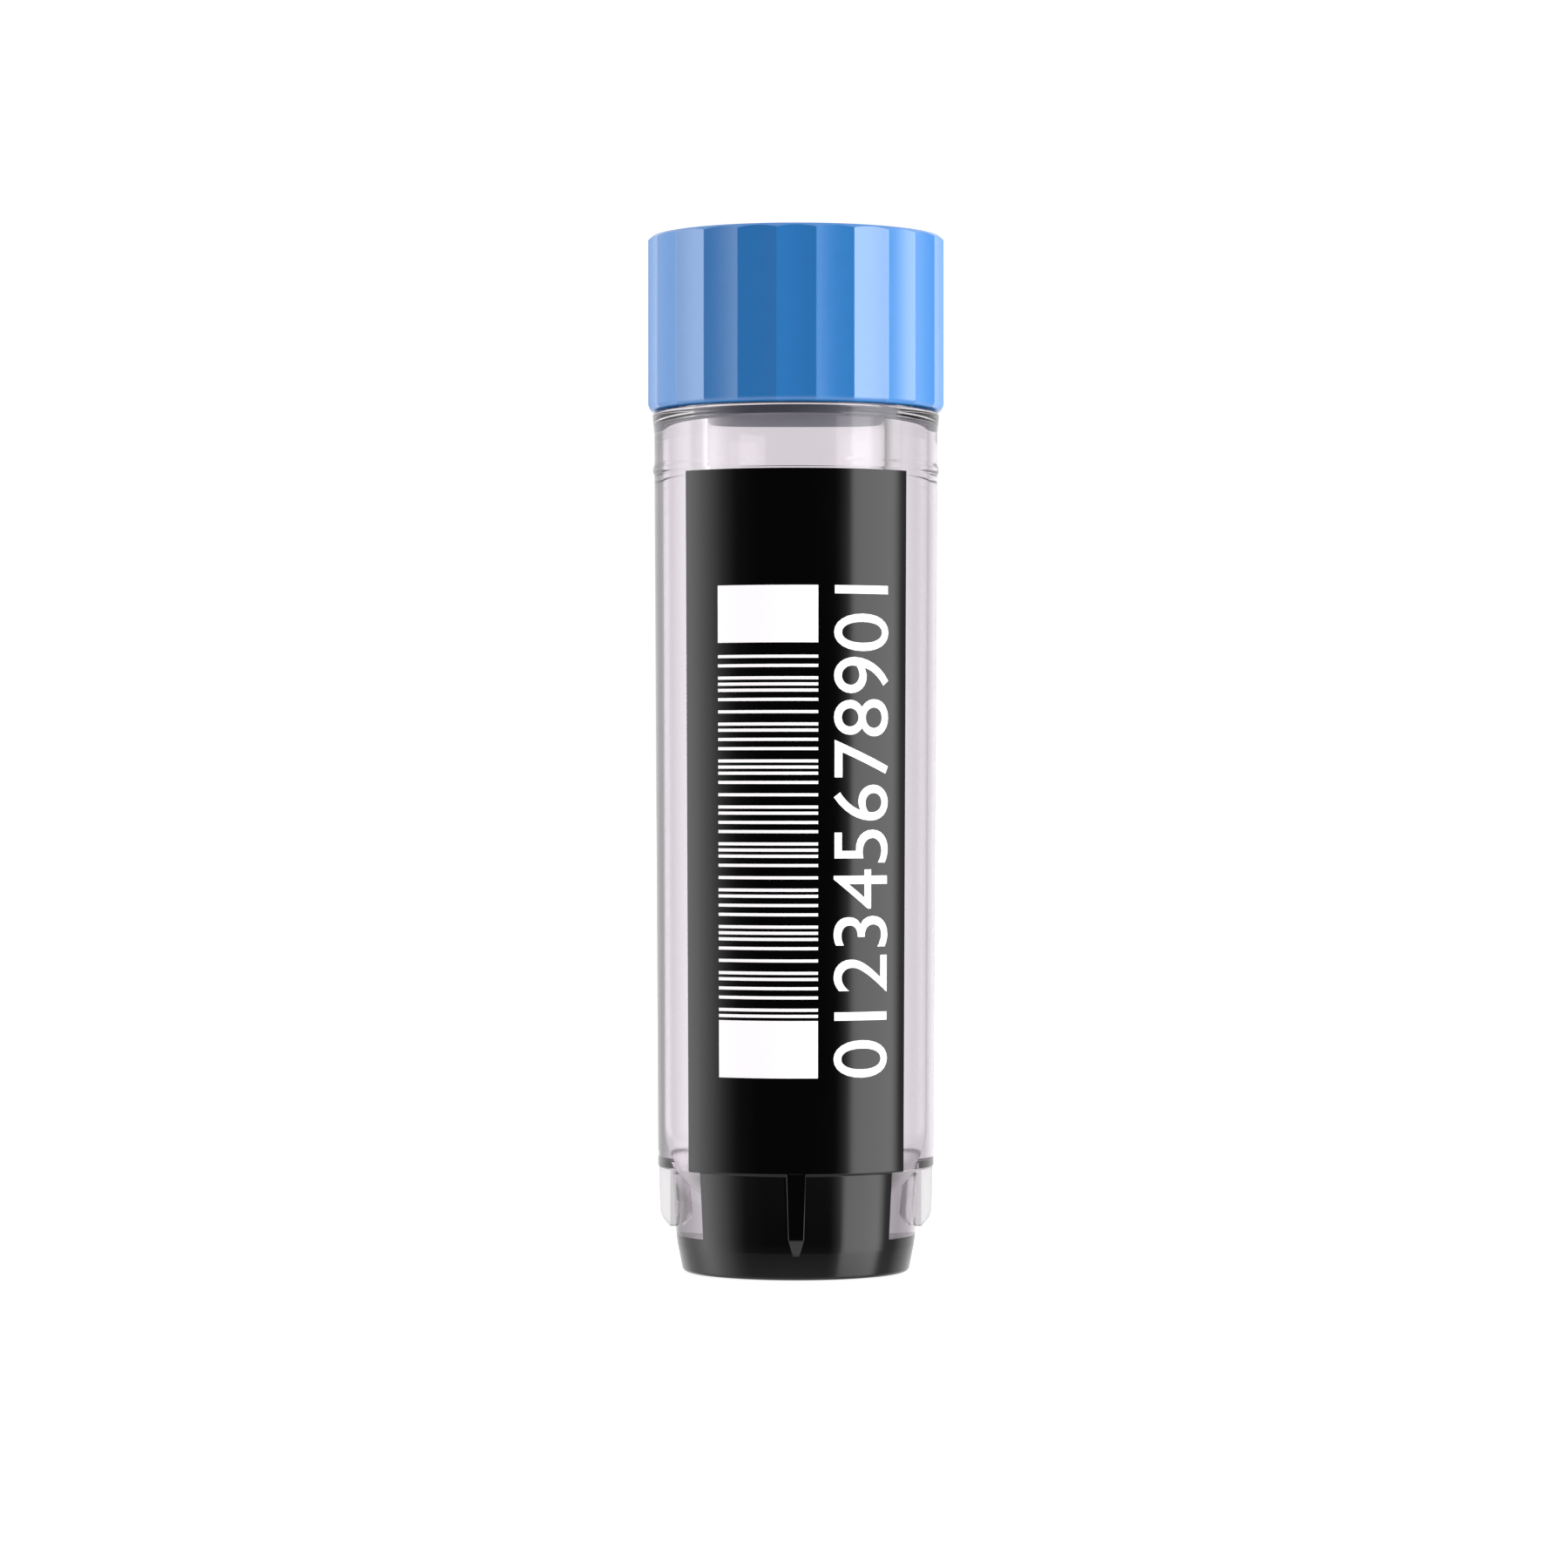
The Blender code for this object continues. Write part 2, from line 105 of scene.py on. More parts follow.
def rounded(corners):
    """An outline of (radius, height, fillet) corners, as points, with an arc at each filleted corner."""
    points = []
    for index, (radius, height, fillet) in enumerate(corners):
        here = Vector((radius, height))
        if fillet == 0.0:
            points.append(here)
            continue
        before = (Vector(corners[index - 1][:2]) - here).normalized()
        after = (Vector(corners[index + 1][:2]) - here).normalized()
        half = before.angle(after) / 2
        centre = here + (before + after).normalized() * fillet / math.sin(half)
        start = here + before * fillet / math.tan(half) - centre
        end = here + after * fillet / math.tan(half) - centre
        turn = start.angle_signed(end)
        for step in range(ARC_STEPS + 1):
            angle = -turn * step / ARC_STEPS
            spun = Vector((start.x * math.cos(angle) - start.y * math.sin(angle),
                           start.x * math.sin(angle) + start.y * math.cos(angle)))
            points.append(centre + spun)
    return [(point.x, point.y) for point in points]


def arc(centre_r, centre_z, radius, start, end, steps):
    """Points on a circle in the (radius, height) plane between two angles in degrees."""
    angles = [math.radians(start + (end - start) * step / steps) for step in range(steps + 1)]
    return [(centre_r + radius * math.cos(angle), centre_z + radius * math.sin(angle)) for angle in angles]


def turned(azimuths, outline_at):
    """A closed body from the outlines that outline_at gives for each azimuth, all round the axis.

    Every outline begins and ends on the axis. Where neighbouring outlines differ in kind, as on either
    side of a moulded-in panel, their shared stretch joins up and a flat wall closes the rest."""
    mesh = bmesh.new()
    known = {}

    def vertex(index, point):
        radius, height = point
        key = (-1 if radius < TINY else index, round(radius, 5), round(height, 5))
        if key not in known:
            known[key] = mesh.verts.new(polar(radius, azimuths[index], height))
        return known[key]

    def face(corners):
        corners = list(dict.fromkeys(corners))
        if len(corners) > 2:
            mesh.faces.new(corners)

    def differ(pair):
        return math.dist(*pair) > SAME_POINT

    count = len(azimuths)
    kinds = [outline_at(azimuths[index], azimuths[(index + 1) % count]) for index in range(count)]
    for index, (near, far) in enumerate(kinds):
        after = (index + 1) % count
        for step in range(len(near) - 1):
            face([vertex(index, near[step]), vertex(index, near[step + 1]),
                  vertex(after, far[step + 1]), vertex(after, far[step])])
        following = kinds[after][0]
        if len(following) != len(far) or any(map(differ, zip(far, following))):
            first = next(step for step, pair in enumerate(zip(far, following)) if differ(pair))
            back_pairs = zip(reversed(far), reversed(following))
            last = next(step for step, pair in enumerate(back_pairs) if differ(pair))
            one = far[first - 1:len(far) - last + 1]
            other = following[first:len(following) - last]
            face([vertex(after, point) for point in one + list(reversed(other))])
    bmesh.ops.recalc_face_normals(mesh, faces=mesh.faces)
    return mesh


def round_body(outline):
    """A body turned from one outline."""
    azimuths = [FULL_TURN * step / FACETS for step in range(FACETS)]
    return turned(azimuths, lambda here, there: (outline, outline))


def swept(sections):
    """A closed body through equal outlines that follow one another, capped at both ends."""
    mesh = bmesh.new()
    made = [[mesh.verts.new(point) for point in section] for section in sections]
    count = len(sections[0])
    for first, second in zip(made, made[1:]):
        for step in range(count):
            after = (step + 1) % count
            mesh.faces.new([first[step], first[after], second[after], second[step]])
    mesh.faces.new(made[0])
    mesh.faces.new(made[-1])
    bmesh.ops.recalc_face_normals(mesh, faces=mesh.faces)
    return mesh


def to_object(name, mesh):
    """Put a bmesh into the scene as an object."""
    data = bpy.data.meshes.new(name)
    mesh.to_mesh(data)
    mesh.free()
    thing = bpy.data.objects.new(name, data)
    bpy.context.scene.collection.objects.link(thing)
    return thing


def combine(target, tool, operation):
    """Join a tool object to the target, or cut it out, and remove the tool."""
    cut = target.modifiers.new("combine", "BOOLEAN")
    cut.object = tool
    cut.operation = operation
    cut.solver = "EXACT"
    bpy.context.view_layer.update()
    evaluated = target.evaluated_get(bpy.context.evaluated_depsgraph_get())
    made = bpy.data.meshes.new_from_object(evaluated)
    target.modifiers.clear()
    target.data = made
    bpy.data.objects.remove(tool, do_unlink=True)


def bevelled(tool, width, limit=40.0):
    """Round a tool object's edges."""
    bevel = tool.modifiers.new("bevel", "BEVEL")
    bevel.width = width * MM
    bevel.segments = 3
    bevel.limit_method = "ANGLE"
    bevel.angle_limit = math.radians(limit)
    return tool


def finish_piece(piece, material, body, slot, *nodes):
    """Smooth a piece, give it its material, and tell the frame what it rides on and stands for.

    Normals are weighted by area, so a broad face stays true where it meets a small rounded edge."""
    piece.data.materials.clear()
    piece.data.materials.append(material)
    piece.data.shade_smooth()
    piece.data.set_sharp_from_angle(angle=math.radians(SMOOTH_ANGLE))
    broad = piece.modifiers.new("broad_faces", "WEIGHTED_NORMAL")
    broad.keep_sharp = True
    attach(piece, body)
    if nodes:
        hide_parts(*nodes)
    return piece


# ---------------------------------------------------------------- materials

FLOW = (1.0, 1.0, 0.2)           # stretches a noise along the tube, the way the plastic flowed
REGION_EDGE = 0.03               # over which a region of a material ends


def new_material(name, colour, roughness, **settings):
    """A Principled material, and the pieces of its node tree."""
    made = bpy.data.materials.new(name)
    made.use_nodes = True
    shader = made.node_tree.nodes["Principled BSDF"]
    shader.inputs["Base Color"].default_value = (*colour, 1.0)
    shader.inputs["Roughness"].default_value = roughness
    for socket, value in settings.items():
        shader.inputs[socket.replace("_", " ")].default_value = value
    return made, made.node_tree, shader


def noise(tree, scale, detail=3.0, stretch=(1.0, 1.0, 1.0)):
    """A noise texture in the object's own coordinates; scale counts features per metre."""
    place = tree.nodes.new("ShaderNodeTexCoord")
    mapping = tree.nodes.new("ShaderNodeMapping")
    mapping.inputs["Scale"].default_value = stretch
    texture = tree.nodes.new("ShaderNodeTexNoise")
    texture.inputs["Scale"].default_value = scale
    texture.inputs["Detail"].default_value = detail
    tree.links.new(place.outputs["Object"], mapping.inputs["Vector"])
    tree.links.new(mapping.outputs["Vector"], texture.inputs["Vector"])
    return texture.outputs["Fac"]


def spread(tree, source, low, high, from_low=0.3, from_high=0.7):
    """A source value mapped onto a range."""
    ranged = tree.nodes.new("ShaderNodeMapRange")
    ranged.inputs["From Min"].default_value = from_low
    ranged.inputs["From Max"].default_value = from_high
    ranged.inputs["To Min"].default_value = low
    ranged.inputs["To Max"].default_value = high
    tree.links.new(source, ranged.inputs["Value"])
    return ranged.outputs["Result"]


def bump(tree, shader, source, height):
    """Add a bump of a height in millimetres, on top of any that the shader has already."""
    node = tree.nodes.new("ShaderNodeBump")
    node.inputs["Strength"].default_value = 1.0
    node.inputs["Distance"].default_value = height * MM
    tree.links.new(source, node.inputs["Height"])
    if shader.inputs["Normal"].links:
        tree.links.new(shader.inputs["Normal"].links[0].from_socket, node.inputs["Normal"])
    tree.links.new(node.outputs["Normal"], shader.inputs["Normal"])


def mixed(tree, kind, share, first, second):
    """Mix two sources or values, of a kind FLOAT or RGBA, by a share."""
    mix = tree.nodes.new("ShaderNodeMix")
    mix.data_type = kind
    tree.links.new(share, mix.inputs["Factor"])
    for name, source in (("A", first), ("B", second)):
        if isinstance(source, bpy.types.NodeSocket):
            tree.links.new(source, mix.inputs[name])
        else:
            mix.inputs[name].default_value = source
    return mix.outputs["Result"]


def tinted(tree, shader, share, dark, light):
    """Drive the base colour between two colours, or from a source to a colour."""
    tree.links.new(mixed(tree, "RGBA", share, dark, light), shader.inputs["Base Color"])


def region(tree, inner, outer, top, fade=REGION_EDGE):
    """1 on the surface between two radii below a height, in millimetres, and 0 elsewhere."""
    place = tree.nodes.new("ShaderNodeTexCoord")
    split = tree.nodes.new("ShaderNodeSeparateXYZ")
    tree.links.new(place.outputs["Object"], split.inputs["Vector"])
    flat = tree.nodes.new("ShaderNodeCombineXYZ")
    tree.links.new(split.outputs["X"], flat.inputs["X"])
    tree.links.new(split.outputs["Y"], flat.inputs["Y"])
    radius = tree.nodes.new("ShaderNodeVectorMath")
    radius.operation = "LENGTH"
    tree.links.new(flat.outputs["Vector"], radius.inputs[0])
    distance = radius.outputs["Value"]
    shares = [spread(tree, distance, 1.0, 0.0, outer * MM, (outer + REGION_EDGE) * MM),
              spread(tree, distance, 0.0, 1.0, (inner - REGION_EDGE) * MM, inner * MM),
              spread(tree, split.outputs["Z"], 1.0, 0.0, (top - fade) * MM, (top + fade) * MM)]
    product = shares[0]
    for share in shares[1:]:
        both = tree.nodes.new("ShaderNodeMath")
        both.operation = "MULTIPLY"
        tree.links.new(product, both.inputs[0])
        tree.links.new(share, both.inputs[1])
        product = both.outputs["Value"]
    return product


def clear_plastic():
    """Clear polypropylene: a trace of haze, flow waviness from the mould, and a faint warm grey.

    The bowl is slightly matt and the fins more so, and the thick skirt below the step is tinted darker, a
    painted shade."""
    bowl_top, bowl_fade, bowl_roughness, fin_roughness = 5.3, 0.9, 0.3, 0.4
    bore_side, skirt_inside, skirt_outside = 4.05, 4.6, 5.39
    made, tree, shader = new_material("clear_polypropylene", (0.97, 0.955, 0.965), 0.02,
                                      Transmission_Weight=1.0, IOR=1.49)
    bowl = region(tree, 0.0, bore_side, bowl_top, bowl_fade)
    painted_shade_skirt = region(tree, skirt_inside, skirt_outside, STEP_Z)
    fins = region(tree, skirt_outside + REGION_EDGE, CAP_RADIUS, STEP_Z)
    thin = mixed(tree, "RGBA", noise(tree, 900.0), (0.960, 0.945, 0.955, 1.0), (0.980, 0.965, 0.975, 1.0))
    # painted shade: the skirt's outer surface below the step gets a darker grey than the rest of the clear
    # plastic
    tinted(tree, shader, painted_shade_skirt, thin, (0.68, 0.665, 0.675, 1.0))
    polished = spread(tree, noise(tree, 2500.0), 0.01, 0.05)
    inside = mixed(tree, "FLOAT", bowl, polished, bowl_roughness)
    tree.links.new(mixed(tree, "FLOAT", fins, inside, fin_roughness), shader.inputs["Roughness"])
    bump(tree, shader, noise(tree, 300.0, 1.0, FLOW), 0.0004)
    bump(tree, shader, noise(tree, 9000.0, 2.0), 0.00006)
    absorption = tree.nodes.new("ShaderNodeVolumeAbsorption")
    absorption.inputs["Color"].default_value = (0.53, 0.443, 0.53, 1.0)
    absorption.inputs["Density"].default_value = 100.0
    output = next(node for node in tree.nodes if node.type == "OUTPUT_MATERIAL")
    tree.links.new(absorption.outputs["Volume"], output.inputs["Volume"])
    return made


def black_plastic():
    """Black polypropylene: satin, with faint flow streaks up the panel and a fine texture."""
    made, tree, shader = new_material("black_polypropylene", (0.0008, 0.0008, 0.0008), 0.2, IOR=1.49)
    tinted(tree, shader, noise(tree, 1200.0), (0.0005, 0.0005, 0.0005, 1.0), (0.0012, 0.0011, 0.0012, 1.0))
    streaks = noise(tree, 700.0, 4.0, FLOW)
    tree.links.new(spread(tree, streaks, 0.11, 0.17), shader.inputs["Roughness"])
    bump(tree, shader, noise(tree, 14000.0, 3.0), 0.0004)
    return made


def blue_plastic():
    """Blue polypropylene: satin, with the mould's fine texture."""
    made, tree, shader = new_material("blue_polypropylene", (0.04, 0.30, 0.82), 0.24, IOR=2.0)
    tinted(tree, shader, noise(tree, 1500.0), (0.038, 0.285, 0.79, 1.0), (0.043, 0.305, 0.84, 1.0))
    tree.links.new(spread(tree, noise(tree, 5000.0), 0.22, 0.27), shader.inputs["Roughness"])
    bump(tree, shader, noise(tree, 16000.0, 2.0), 0.0012)
    return made


def seal_rubber():
    """Soft grey elastomer."""
    made, tree, shader = new_material("seal_elastomer", (0.37, 0.39, 0.47), 0.5, IOR=1.45)
    tinted(tree, shader, noise(tree, 1500.0), (0.35, 0.37, 0.44, 1.0), (0.39, 0.41, 0.49, 1.0))
    bump(tree, shader, noise(tree, 9000.0), 0.002)
    return made


def laser_mark_painted_glow():
    """The foamed white of a laser mark on black plastic, with a painted glow on top that makes it brighter
    than the light on it would.
    """
    # painted light: the mark glows, which keeps it bright white whatever light falls on it
    made, tree, shader = new_material("laser_mark_painted_glow", (0.95, 0.93, 0.95), 0.55, Emission_Strength=0.5)
    shader.inputs["Emission Color"].default_value = (1.0, 0.96, 0.99, 1.0)
    tinted(tree, shader, noise(tree, 6000.0), (0.90, 0.87, 0.895, 1.0), (0.99, 0.975, 0.985, 1.0))
    bump(tree, shader, noise(tree, 20000.0), 0.002)
    return made


# ---------------------------------------------------------------- tube and code shell

def barrel_radius(height):
    """The barrel's radius at a height, tapering from the bead down to the step."""
    share = (height - STEP_Z) / (BEAD_BOTTOM - STEP_Z)
    return BARREL_BOTTOM_RADIUS + share * (BARREL_TOP_RADIUS - BARREL_BOTTOM_RADIUS)


def sector_azimuths(half_angle):
    """FACETS azimuths round the axis with a pair exactly on the front sector's edges."""
    behind = FACETS - FRONT_FACETS
    front = [half_angle * (2.0 * step / FRONT_FACETS - 1.0) for step in range(FRONT_FACETS)]
    back = [half_angle + (FULL_TURN - 2 * half_angle) * step / behind for step in range(behind)]
    return front + back


def by_sector(half_angle, front, back):
    """The outline function of a body whose front sector has an outline of its own."""
    def outline_at(here, there):
        inside = -half_angle - TINY <= here < half_angle - TINY and there <= half_angle + TINY
        chosen = front if inside else back
        return chosen, chosen
    return outline_at


def thread(root_radius, outward, bottom, turns, start_azimuth):
    """A right-handed thread on a wall at root_radius, standing out (1) from it or in (-1).

    It fades in and out over its runout, and a small shoulder takes the edge off its crest."""
    step_angle, least_fade, shoulder_share = 3.0, 0.04, 0.85
    wide = THREAD_ROOT_HEIGHT / 2
    shoulder_height = THREAD_CREST_HEIGHT / 2 + 0.03
    crest_height = THREAD_CREST_HEIGHT / 2 - 0.05
    steps = round(turns * FULL_TURN / step_angle)
    sections = []
    for step in range(steps + 1):
        turn = step * step_angle
        azimuth = start_azimuth + turn
        centre = bottom + LEAD * turn / FULL_TURN
        fade = min(1.0, min(turn, turns * FULL_TURN - turn) / THREAD_RUNOUT)
        depth = outward * THREAD_DEPTH * max(least_fade, math.sin(fade * math.pi / 2))
        foot = root_radius - outward * THREAD_EMBED
        shoulder = root_radius + depth * shoulder_share
        crest = root_radius + depth
        sections.append([polar(foot, azimuth, centre - wide),
                         polar(shoulder, azimuth, centre - shoulder_height),
                         polar(crest, azimuth, centre - crest_height),
                         polar(crest, azimuth, centre + crest_height),
                         polar(shoulder, azimuth, centre + shoulder_height),
                         polar(foot, azimuth, centre + wide)])
    return to_object("thread_tool", swept(sections))


def rib_tool(outline, azimuth, width_at, tip_share):
    """A rib with a side view of (radius, height) points, drafted from its foot to its outer face."""
    angle = math.radians(azimuth)
    outward = Vector((math.sin(angle), -math.cos(angle), 0.0))
    sideways = Vector((math.cos(angle), math.sin(angle), 0.0))
    foot = min(radius for radius, height in outline)
    tip = max(radius for radius, height in outline)
    sides = []
    for side in (-0.5, 0.5):
        points = []
        for radius, height in outline:
            draft = 1.0 - (1.0 - tip_share) * (radius - foot) / (tip - foot)
            points.append((outward * radius + sideways * side * width_at(height) * draft
                           + Vector((0.0, 0.0, height))) * MM)
        sides.append(points)
    return to_object("rib_tool", swept(sides))


def tube_outlines():
    """The clear tube's outlines behind the code shell and everywhere else."""
    bore_centre = BORE_TIP_Z + BORE_BOTTOM_RADIUS
    bore = arc(0.0, bore_centre, BORE_BOTTOM_RADIUS, -90.0, 0.0, 28)
    bore[0] = (0.0, BORE_TIP_Z)
    upper = rounded([
        (*bore[-1], 0.0), (BORE_TOP_RADIUS, LEDGE_Z, 0.012), (MOUTH_RADIUS, LEDGE_Z, 0.012),
        (MOUTH_RADIUS, NECK_TOP, 0.22), (NECK_ROOT_RADIUS, NECK_TOP, 0.22),
        (NECK_ROOT_RADIUS, SHOULDER_Z, 0.20), (COLLAR_RADIUS, SHOULDER_Z, 0.14),
        (COLLAR_RADIUS, COLLAR_TOP, 0.5), (BARREL_TOP_RADIUS, COLLAR_BOTTOM, 2.0),
        (BARREL_TOP_RADIUS, BEAD_TOP + BEAD_SLOPE / 2, BEAD_BLEND),
        (BEAD_RADIUS, BEAD_TOP - BEAD_SLOPE, BEAD_BLEND),
        (BEAD_RADIUS, BEAD_BOTTOM + BEAD_SLOPE, BEAD_BLEND), (BARREL_TOP_RADIUS, PANEL_TOP, 0.0)])
    inner, low = PANEL_INNER_RADIUS + FUSED, SHELL_SKIRT_INNER_RADIUS + FUSED
    floor = BASE_TOP - FUSED
    pocket = [(BARREL_TOP_RADIUS, PANEL_TOP - FUSED), (inner, PANEL_TOP - FUSED),
              (inner, STEP_Z + inner - low), (low, STEP_Z)]
    outside = rounded([
        (BARREL_TOP_RADIUS, PANEL_TOP, 0.0), (barrel_radius(STEP_Z), STEP_Z, 0.08),
        (SKIRT_TOP_RADIUS, STEP_Z, 0.08), (SKIRT_BOTTOM_RADIUS, floor, 0.0)])[1:]
    shared_end = [(low, floor), (0.0, floor)]
    shared = bore + upper[1:]
    return shared + pocket + shared_end, shared + outside + shared_end


def build_tube(material):
    """The clear tube with its thread and its three fins.

    Its pocket is a trace narrower than the shell, so the two reach into each other."""
    front, back = tube_outlines()
    pocket_half_angle = SHELL_HALF_ANGLE - 0.05
    azimuths = sector_azimuths(pocket_half_angle)
    outline_at = by_sector(pocket_half_angle, front, back)
    tube = to_object("clear_tube", turned(azimuths, outline_at))
    combine(tube, thread(NECK_ROOT_RADIUS, 1, TUBE_THREAD_BOTTOM, TUBE_THREAD_TURNS, 0.0), "UNION")
    fin_top = STEP_Z + 0.2
    fin = [(FIN_FOOT_RADIUS, fin_top), (barrel_radius(STEP_Z) - 0.05, fin_top), (5.84, 2.62),
           (5.72, 2.28), (5.50, 2.02), (5.40, FIN_BOTTOM), (FIN_FOOT_RADIUS, FIN_BOTTOM)]
    for azimuth in FIN_AZIMUTHS:
        tool = bevelled(rib_tool(fin, azimuth, lambda height: FIN_WIDTH, 0.86), 0.05)
        combine(tube, tool, "UNION")
    return finish_piece(tube, material, TUBE, "clear_polypropylene", "tube")


def front_rib_width(height):
    """The front rib's width, which narrows downwards, and more so down its ramp."""
    if height < RIB_RAMP_TOP:
        return RIB_RAMP_WIDTH
    share = (height - RIB_RAMP_TOP) / (STEP_Z - RIB_RAMP_TOP)
    return RIB_WIDTH_BOTTOM + share * (RIB_WIDTH_TOP - RIB_WIDTH_BOTTOM)


def build_code_shell(material):
    """The black shell: base disc, front skirt and panel, and the front rib."""
    base = [(0.0, 0.0, 0.0), (BASE_RADIUS - 0.02, 0.0, 0.20), (KINK_RADIUS, KINK_Z, 0.05),
            (SKIRT_BOTTOM_RADIUS, BASE_TOP, 0.0)]
    shared = rounded(base)
    front = rounded([
        (SKIRT_BOTTOM_RADIUS, BASE_TOP, 0.0), (SKIRT_TOP_RADIUS, STEP_Z, 0.12),
        (barrel_radius(STEP_Z), STEP_Z, 0.09), (BARREL_TOP_RADIUS, PANEL_TOP, 0.02),
        (PANEL_INNER_RADIUS, PANEL_TOP, 0.0)])[1:]
    front += [(PANEL_INNER_RADIUS, STEP_Z + PANEL_INNER_RADIUS - SHELL_SKIRT_INNER_RADIUS),
              (SHELL_SKIRT_INNER_RADIUS, STEP_Z)]
    shared_end = [(SHELL_SKIRT_INNER_RADIUS, BASE_TOP), (0.0, BASE_TOP)]
    azimuths = sector_azimuths(SHELL_HALF_ANGLE)
    outline_at = by_sector(SHELL_HALF_ANGLE, shared + front + shared_end, shared + shared_end)
    shell = to_object("black_code_shell", turned(azimuths, outline_at))
    tip = barrel_radius(STEP_Z) - RIB_RECESS
    rib_top = STEP_Z + 0.25
    side = [(RIB_FOOT_RADIUS, rib_top), (tip, rib_top), (tip - 0.01, RIB_RAMP_TOP), (5.06, 1.02),
            (5.02, RIB_RAMP_BOTTOM), (RIB_FOOT_RADIUS, RIB_RAMP_BOTTOM)]
    combine(shell, bevelled(rib_tool(side, 0.0, front_rib_width, 0.88), 0.06, 25.0), "UNION")
    return finish_piece(shell, material, TUBE, "black_polypropylene", "code_shell")


# ---------------------------------------------------------------- cap and seal

def flute_azimuths():
    """Azimuths over the fluted surface, closer together beside each ridge."""
    across = [-1.0, -0.99, -0.97, -0.8, -0.55, -0.28, 0.0, 0.28, 0.55, 0.8, 0.97, 0.99]
    azimuths = []
    for flute in range(FLUTES):
        centre = flute * 2 * HALF_FLUTE
        azimuths += [centre + share * HALF_FLUTE for share in across]
    return azimuths


def flute_radius(azimuth):
    """The fluted surface's radius: hollow flutes that meet in slightly rounded ridges.

    Here sag is a flute's depth below its chord, and blunt is what the ridges lose at their crests."""
    sag, blunt, blunt_share = 0.040, 0.004, 0.03
    share = ((azimuth / HALF_FLUTE + 1.0) % 2.0) - 1.0
    half = math.radians(HALF_FLUTE)
    chord = CAP_RADIUS * math.cos(half) / math.cos(share * half)
    radius = chord - sag * (1.0 - share * share)
    near_ridge = max(0.0, 1.0 - (1.0 - abs(share)) / blunt_share)
    return radius - blunt * near_ridge * near_ridge


def spline_share(azimuth):
    """How far a spline stands into the drive socket at this azimuth, from 0 to 1."""
    half_width, flank = 6.0, 2.5
    period = FULL_TURN / SPLINES
    off = abs(((azimuth + period / 2) % period) - period / 2)
    return min(1.0, max(0.0, (half_width - off) / flank))


def cap_outline(azimuth):
    """The cap's outline at one azimuth: up the socket, over the top, down a flute, round the plug."""
    outer = flute_radius(azimuth)
    splined = SOCKET_RADIUS - SPLINE_DEPTH * spline_share(azimuth)
    above_splines = SOCKET_RADIUS + 0.001
    top_face = CAP_TOP_FACE_RADIUS - 0.02
    funnel_width, funnel_depth, spline_end = 0.2, 0.25, 0.35
    lead_in_width, lead_in_height = 0.2, 0.3
    chamfer_z = CAP_TOP - max(0.02, outer - CAP_TOP_FACE_RADIUS) * CAP_CHAMFER_SLOPE
    return rounded([
        (0.0, SOCKET_FLOOR, 0.0), (splined, SOCKET_FLOOR, 0.12), (splined, SPLINE_TOP, 0.05),
        (above_splines, SPLINE_TOP + spline_end, 0.05), (above_splines, CAP_TOP - funnel_depth, 0.02),
        (SOCKET_RADIUS + funnel_width, CAP_TOP, 0.02), (top_face, CAP_TOP, 0.015),
        (outer, chamfer_z, 0.008), (outer, CAP_BOTTOM, 0.26),
        (CAP_ROOT_RADIUS + lead_in_width, CAP_BOTTOM, 0.04),
        (CAP_ROOT_RADIUS, CAP_BOTTOM + lead_in_height, 0.04), (CAP_ROOT_RADIUS, CAP_ROOF_Z, 0.15),
        (PLUG_RADIUS, CAP_ROOF_Z, 0.15), (PLUG_RADIUS, PLUG_BOTTOM, 0.2), (0.0, PLUG_BOTTOM, 0.0)])


def build_cap(material):
    """The blue cap: fluted skirt with the internal thread, splined drive socket, hollow plug."""
    azimuths = flute_azimuths()
    mesh = turned(azimuths, lambda here, there: (cap_outline(here), cap_outline(there)))
    cap = to_object("blue_cap", mesh)
    half_a_lead_off = FULL_TURN * (CAP_THREAD_BOTTOM - TUBE_THREAD_BOTTOM) / LEAD + FULL_TURN / 2
    tool = thread(CAP_ROOT_RADIUS, -1, CAP_THREAD_BOTTOM, CAP_THREAD_TURNS, half_a_lead_off)
    combine(cap, tool, "UNION")
    return finish_piece(cap, material, CAP, "blue_polypropylene", "cap_shell")


def build_seal(material):
    """The soft boot: a cup over the plug's end and wall, with a flange under the cap's roof.

    Its end is pressed onto the tube's ledge, where it wets the clear plastic."""
    inner = PLUG_RADIUS + SEAL_TO_PLUG
    cup_floor = PLUG_BOTTOM - SEAL_TO_PLUG
    flange = SEAL_TOP - FLANGE_THICKNESS
    pressed = LEDGE_Z - FUSED
    corners = [(0.0, cup_floor, 0.0), (inner, cup_floor, 0.2), (inner, SEAL_TOP, 0.05),
               (FLANGE_RADIUS, SEAL_TOP, 0.06), (FLANGE_RADIUS, flange, 0.06), (SEAL_RADIUS, flange, 0.15),
               (SEAL_RADIUS, pressed, 0.01), (0.0, pressed, 0.0)]
    seal = to_object("soft_seal", round_body(rounded(corners)))
    return finish_piece(seal, material, SEAL, "seal_elastomer", "cap_seal")


# ---------------------------------------------------------------- marks

CODE_BOTTOM, CODE_TOP = 8.59, 29.29
BARS_LEFT, BARS_RIGHT = -32.9, 8.8
BLOCK_HEIGHT, MODULES, WIDEST_BAR = 2.41, 123, 3
DIGITS_TOP, DIGITS_BASE, DIGIT_SLICES = 15.2, 39.9, 17
MARK_PROUD, MARK_SUNK = 0.006, 0.03
PATCH_STEP = 1.5                 # degrees between the sections of a patch


